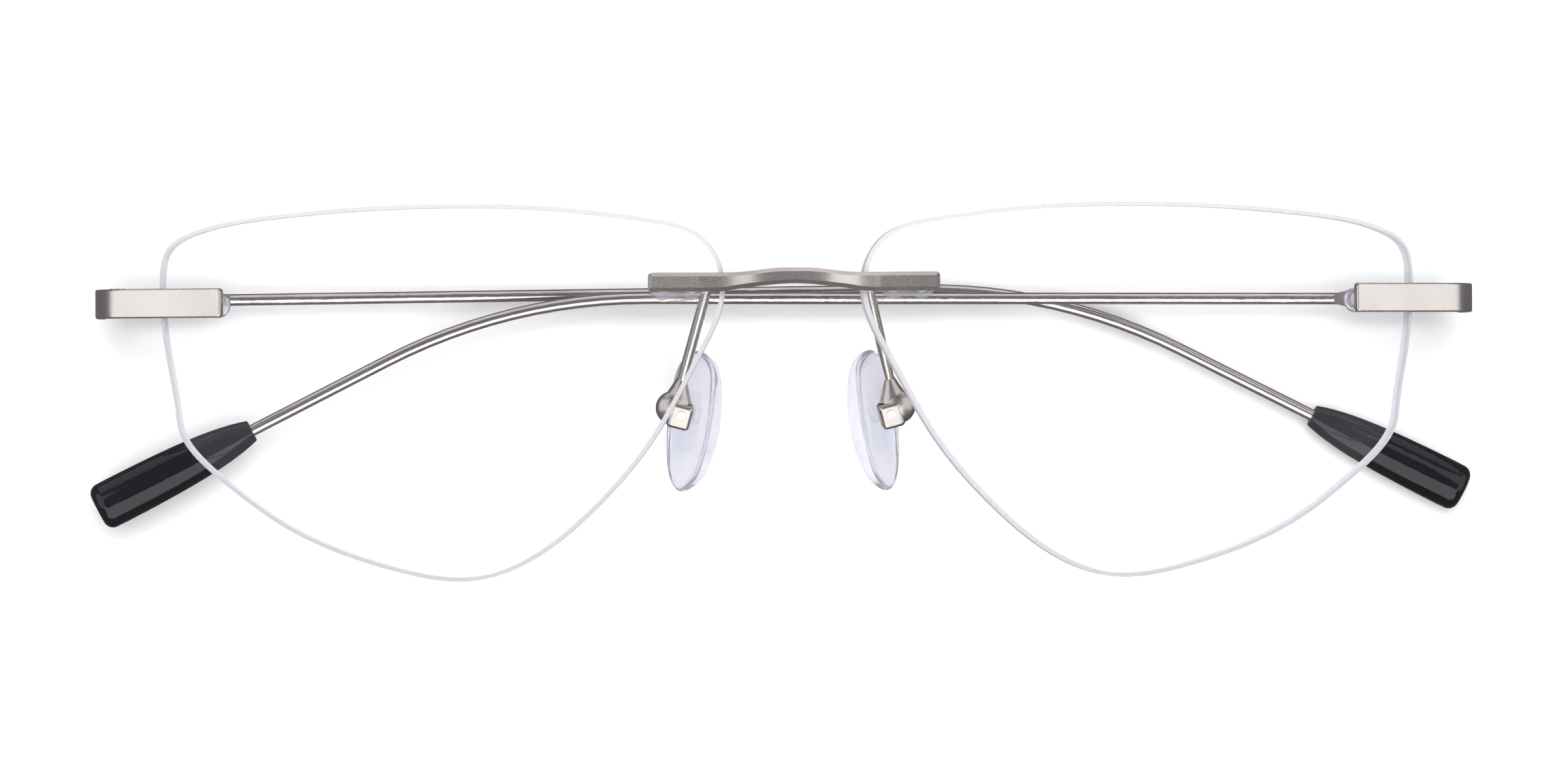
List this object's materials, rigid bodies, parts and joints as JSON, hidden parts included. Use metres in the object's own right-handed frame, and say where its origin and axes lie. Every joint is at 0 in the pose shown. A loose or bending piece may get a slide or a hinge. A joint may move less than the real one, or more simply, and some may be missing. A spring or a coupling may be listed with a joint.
{
  "type": "rimless eyeglasses",
  "caption": "Rimless eyeglasses with rounded triangular lenses, arched bridge bar, adjustable clear nose pads and slim folding temples with black tips, folded.",
  "frame": {"origin": "under the middle of the folded glasses, on the surface they lie on", "axes": "+X towards the wearer's left, +Y towards the top of the glasses, +Z towards the front of the glasses, which lies upwards"},
  "size_m": [0.137, 0.0365, 0.0205],
  "materials": {
    "warm_grey_metal": "satin, warm grey",
    "bright_wire": "bright drawn wire",
    "screw_steel": "bright",
    "lens_plastic": "clear, coated",
    "clear_plug": "clear",
    "clear_silicone": "clear, soft gloss",
    "black_acetate": "polished black"
  },
  "bodies": {
    "front": {"bridge_bar": "warm_grey_metal", "right_lens": "lens_plastic", "right_bridge_plug": "clear_plug", "right_endpiece_plug": "clear_plug", "right_bridge_pin_inner": "warm_grey_metal", "right_bridge_pin_outer": "warm_grey_metal", "right_endpiece_pin_inner": "warm_grey_metal", "right_endpiece_pin_outer": "warm_grey_metal", "right_endpiece": "warm_grey_metal", "right_endpiece_hinge": "warm_grey_metal", "right_hinge_screw": "screw_steel", "right_pad_arm": "bright_wire", "right_pad_box": "warm_grey_metal", "right_pad_pin": "screw_steel", "left_lens": "lens_plastic", "left_bridge_plug": "clear_plug", "left_endpiece_plug": "clear_plug", "left_bridge_pin_inner": "warm_grey_metal", "left_bridge_pin_outer": "warm_grey_metal", "left_endpiece_pin_inner": "warm_grey_metal", "left_endpiece_pin_outer": "warm_grey_metal", "left_endpiece": "warm_grey_metal", "left_endpiece_hinge": "warm_grey_metal", "left_hinge_screw": "screw_steel", "left_pad_arm": "bright_wire", "left_pad_box": "warm_grey_metal", "left_pad_pin": "screw_steel"},
    "right_temple_body": {"right_temple": "warm_grey_metal", "right_temple_tip": "black_acetate", "right_temple_hinge": "warm_grey_metal"},
    "right_pad_body": {"right_nose_pad": "clear_silicone", "right_pad_insert": "clear_plug"},
    "left_temple_body": {"left_temple": "warm_grey_metal", "left_temple_tip": "black_acetate", "left_temple_hinge": "warm_grey_metal"},
    "left_pad_body": {"left_nose_pad": "clear_silicone", "left_pad_insert": "clear_plug"}
  },
  "joints": [
    {"name": "right_temple_fold", "type": "hinge", "parent": "front", "child": "right_temple_body", "pos_m": [-0.0657, 0.0092, 0.00465], "axis": [0, 1, 0], "range_deg": [0, 89.4]},
    {"name": "left_temple_fold", "type": "hinge", "parent": "front", "child": "left_temple_body", "pos_m": [0.0657, 0.00885, 0.00465], "axis": [0, -1, 0], "range_deg": [0, 90.6]},
    {"name": "right_pad_rock", "type": "hinge", "parent": "front", "child": "right_pad_body", "pos_m": [-0.01055, -0.0021, 0.00875], "axis": [-0.0538, -0.2008, 0.9781], "range_deg": [-8, 8]},
    {"name": "left_pad_rock", "type": "hinge", "parent": "front", "child": "left_pad_body", "pos_m": [0.00995, -0.0021, 0.00875], "axis": [0.0538, -0.2008, 0.9781], "range_deg": [-8, 8]}
  ]
}
